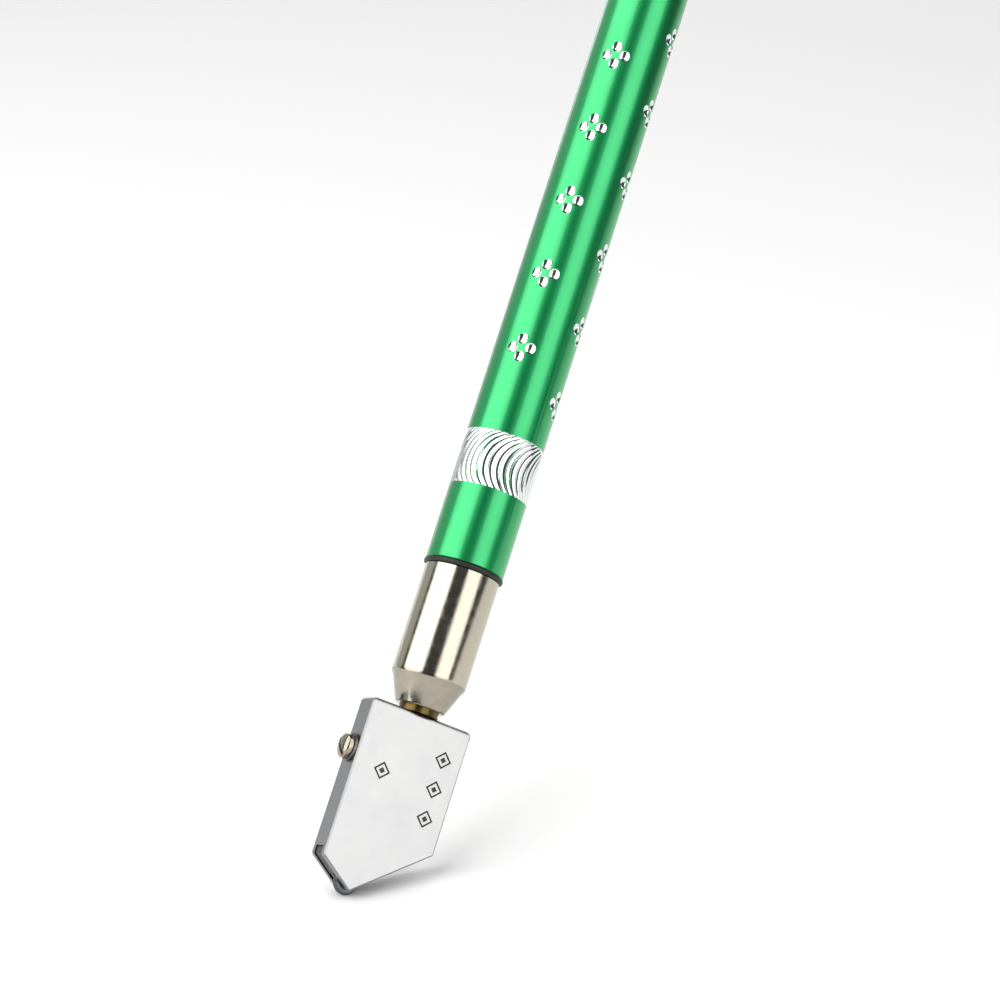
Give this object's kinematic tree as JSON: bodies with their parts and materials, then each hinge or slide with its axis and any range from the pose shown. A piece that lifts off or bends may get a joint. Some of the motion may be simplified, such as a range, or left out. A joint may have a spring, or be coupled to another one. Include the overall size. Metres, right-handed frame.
{
  "type": "oil-fed glass cutter",
  "caption": "Oil-fed pencil-grip glass cutter: anodised tube handle, plated ferrule with a press valve, wide swivelling steel head and a small carbide wheel.",
  "frame": {"origin": "on the handle axis, at the centre of the plain grip stretch between the tube's front rim and the fly-cut band", "axes": "+Z along the handle axis towards the tail, +X to the right across the head, the head's front face looks towards -Y"},
  "size_m": [0.0184, 0.0122, 0.1773],
  "materials": {
    "green_anodised": "green anodised, bright where the band and dimples are cut",
    "nickel_plate": "polished nickel plate",
    "satin_steel": "satin ground",
    "sheet_steel": "plain rolled",
    "spring_steel": "oiled",
    "carbide": "ground tungsten carbide",
    "brass": "turned",
    "black_rubber": "smooth moulded",
    "oiled_felt": "felt soaked with cutting oil",
    "cotton": "twisted cotton"
  },
  "bodies": {
    "handle": {"handle_tube": "green_anodised", "seal_ring": "black_rubber", "ferrule": "nickel_plate", "rod_seal": "black_rubber", "spring_seat": "brass", "valve_spring": "spring_steel", "tail_collar": "brass"},
    "valve_stem": {"stem": "brass", "valve_washer": "black_rubber", "stem_wick": "cotton"},
    "head": {"head_block": "satin_steel", "thrust_washer": "brass", "side_screw": "nickel_plate", "lock_washer": "spring_steel", "wheel_yoke": "sheet_steel", "yoke_pin": "sheet_steel", "axle_pin": "sheet_steel", "felt_strips": "oiled_felt"},
    "wheel": {"cutting_wheel": "carbide"},
    "cap": {"tail_cap": "nickel_plate", "cap_gasket": "black_rubber"}
  },
  "joints": [
    {"name": "stem_press", "type": "slide", "parent": "handle", "child": "valve_stem", "axis": [0, 0, 1], "range_m": [0, 0.0005], "stiffness_N_per_m": 3000, "springref_m": -0.001, "deforming": ["valve_spring"]},
    {"name": "head_swivel", "type": "hinge", "parent": "valve_stem", "child": "head", "pos_m": [0, 0, -0.0347], "axis": [0, 0, 1], "range_deg": [-15, 15]},
    {"name": "wheel_spin", "type": "hinge", "parent": "head", "child": "wheel", "pos_m": [-0.0027, 0, -0.0551], "axis": [0, 1, 0], "continuous": true},
    {"name": "cap_lift", "type": "slide", "parent": "handle", "child": "cap", "axis": [0, 0, 1], "range_m": [0, 0.012]}
  ]
}
